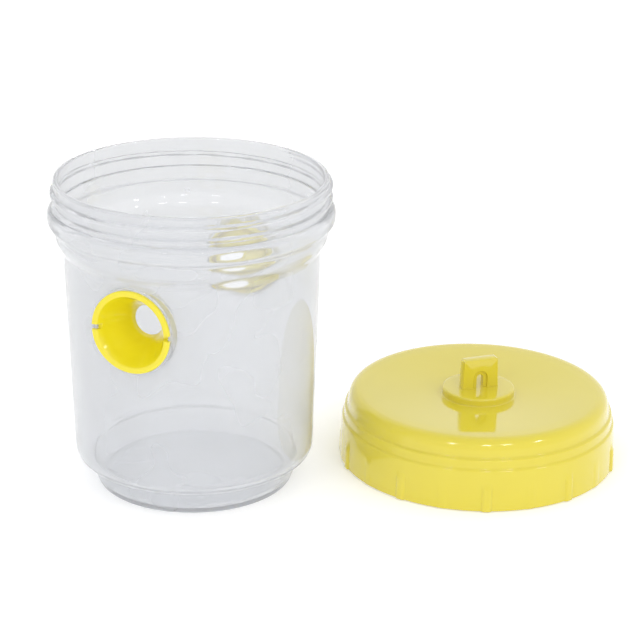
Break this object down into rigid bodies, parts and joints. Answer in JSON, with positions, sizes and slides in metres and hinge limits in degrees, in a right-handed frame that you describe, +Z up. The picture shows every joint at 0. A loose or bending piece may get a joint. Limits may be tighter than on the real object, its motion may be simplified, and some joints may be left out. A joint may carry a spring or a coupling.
{
  "type": "wasp trap",
  "caption": "Reusable wasp trap standing open: a clear jar with a threaded neck and yellow entry funnels in its wall, and its ribbed yellow screw lid with a hanging tab lying beside it.",
  "frame": {"origin": "middle of the jar's base, on the surface that the jar and the lid lie on", "axes": "+Z up along the jar's axis; +X from the jar towards the lid; the front funnel faces -Y and a little towards -X"},
  "size_m": [0.216, 0.1278, 0.1189],
  "materials": {
    "clear_plastic": "gloss",
    "lid_plastic": "gloss",
    "funnel_plastic": "gloss"
  },
  "bodies": {
    "jar": {"jar": "clear_plastic"},
    "lid": {"lid": "lid_plastic"},
    "front_funnel": {"front_funnel": "funnel_plastic"},
    "rear_funnel": {"rear_funnel": "funnel_plastic"}
  },
  "joints": [
    {"name": "lid_lift", "type": "slide", "parent": "jar", "child": "lid", "axis": [0, 0, 1], "range_m": [0, 0.15]},
    {"name": "front_funnel_pull", "type": "slide", "parent": "jar", "child": "front_funnel", "axis": [-0.3939, -0.9191, 0], "range_m": [0, 0.025]},
    {"name": "rear_funnel_pull", "type": "slide", "parent": "jar", "child": "rear_funnel", "axis": [0.3939, 0.9191, 0], "range_m": [0, 0.025]}
  ]
}
